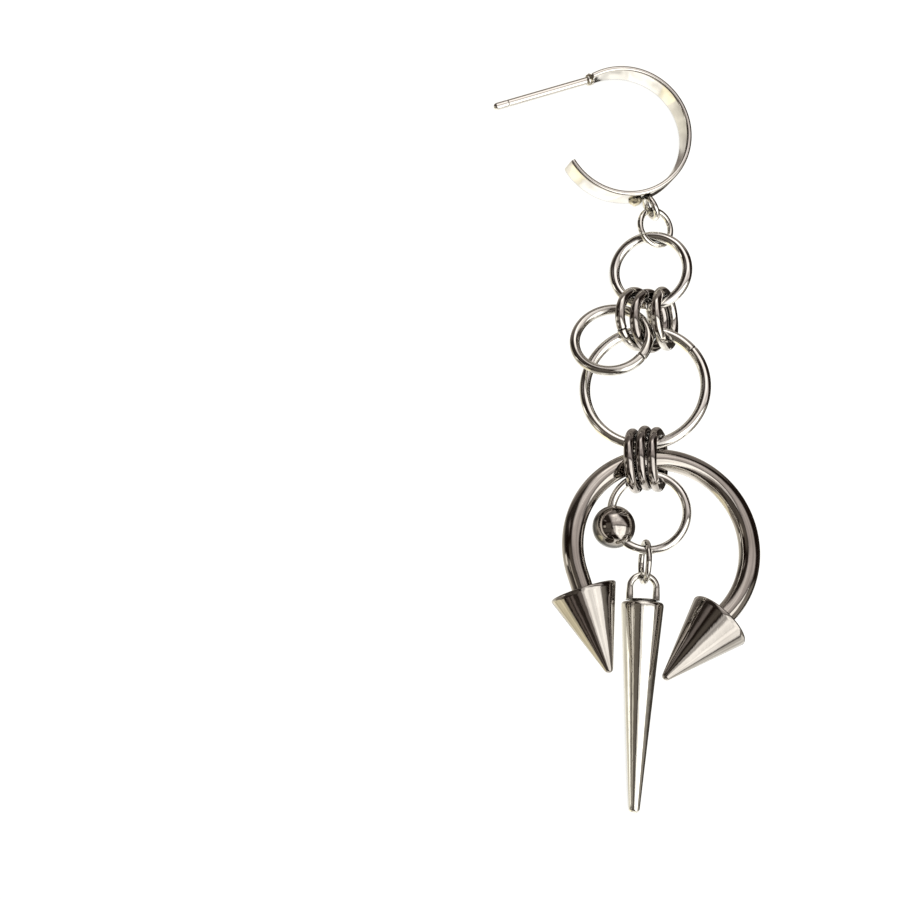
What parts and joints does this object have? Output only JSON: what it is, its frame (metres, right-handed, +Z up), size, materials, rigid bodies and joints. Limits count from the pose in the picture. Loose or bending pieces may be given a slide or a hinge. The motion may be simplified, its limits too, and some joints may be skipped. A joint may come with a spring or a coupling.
{
  "type": "spike earring",
  "caption": "Polished steel body-jewellery earring laid flat: wide post hoop, jump rings, horseshoe bar with cones, captive ball ring and a long hanging spike",
  "frame": {"origin": "Under the middle of the laid earring, on the table it lies on.", "axes": "+Y runs along the earring from the spike's tip to the hoop, +Z is up from the table, +X points right as seen from above with the hoop away from the viewer."},
  "size_m": [0.025, 0.0712, 0.0063],
  "materials": {
    "bright_metal": "polished, slightly warm silver tone",
    "ring_steel": "polished steel wire with sawn seams",
    "dark_steel": "polished darker surgical steel"
  },
  "bodies": {
    "root": {"hoop": "bright_metal", "hoop_link": "bright_metal", "first_ring": "ring_steel", "upper_coil_1": "dark_steel", "upper_coil_2": "dark_steel", "upper_coil_3": "dark_steel", "side_ring": "ring_steel", "large_ring": "ring_steel", "lower_coil_1": "dark_steel", "lower_coil_2": "dark_steel", "lower_coil_3": "dark_steel", "horseshoe_bar": "dark_steel", "left_cone": "dark_steel", "right_cone": "dark_steel", "captive_ring": "ring_steel", "captive_ball": "dark_steel", "spike_link": "bright_metal", "spike": "bright_metal"}
  },
  "joints": []
}
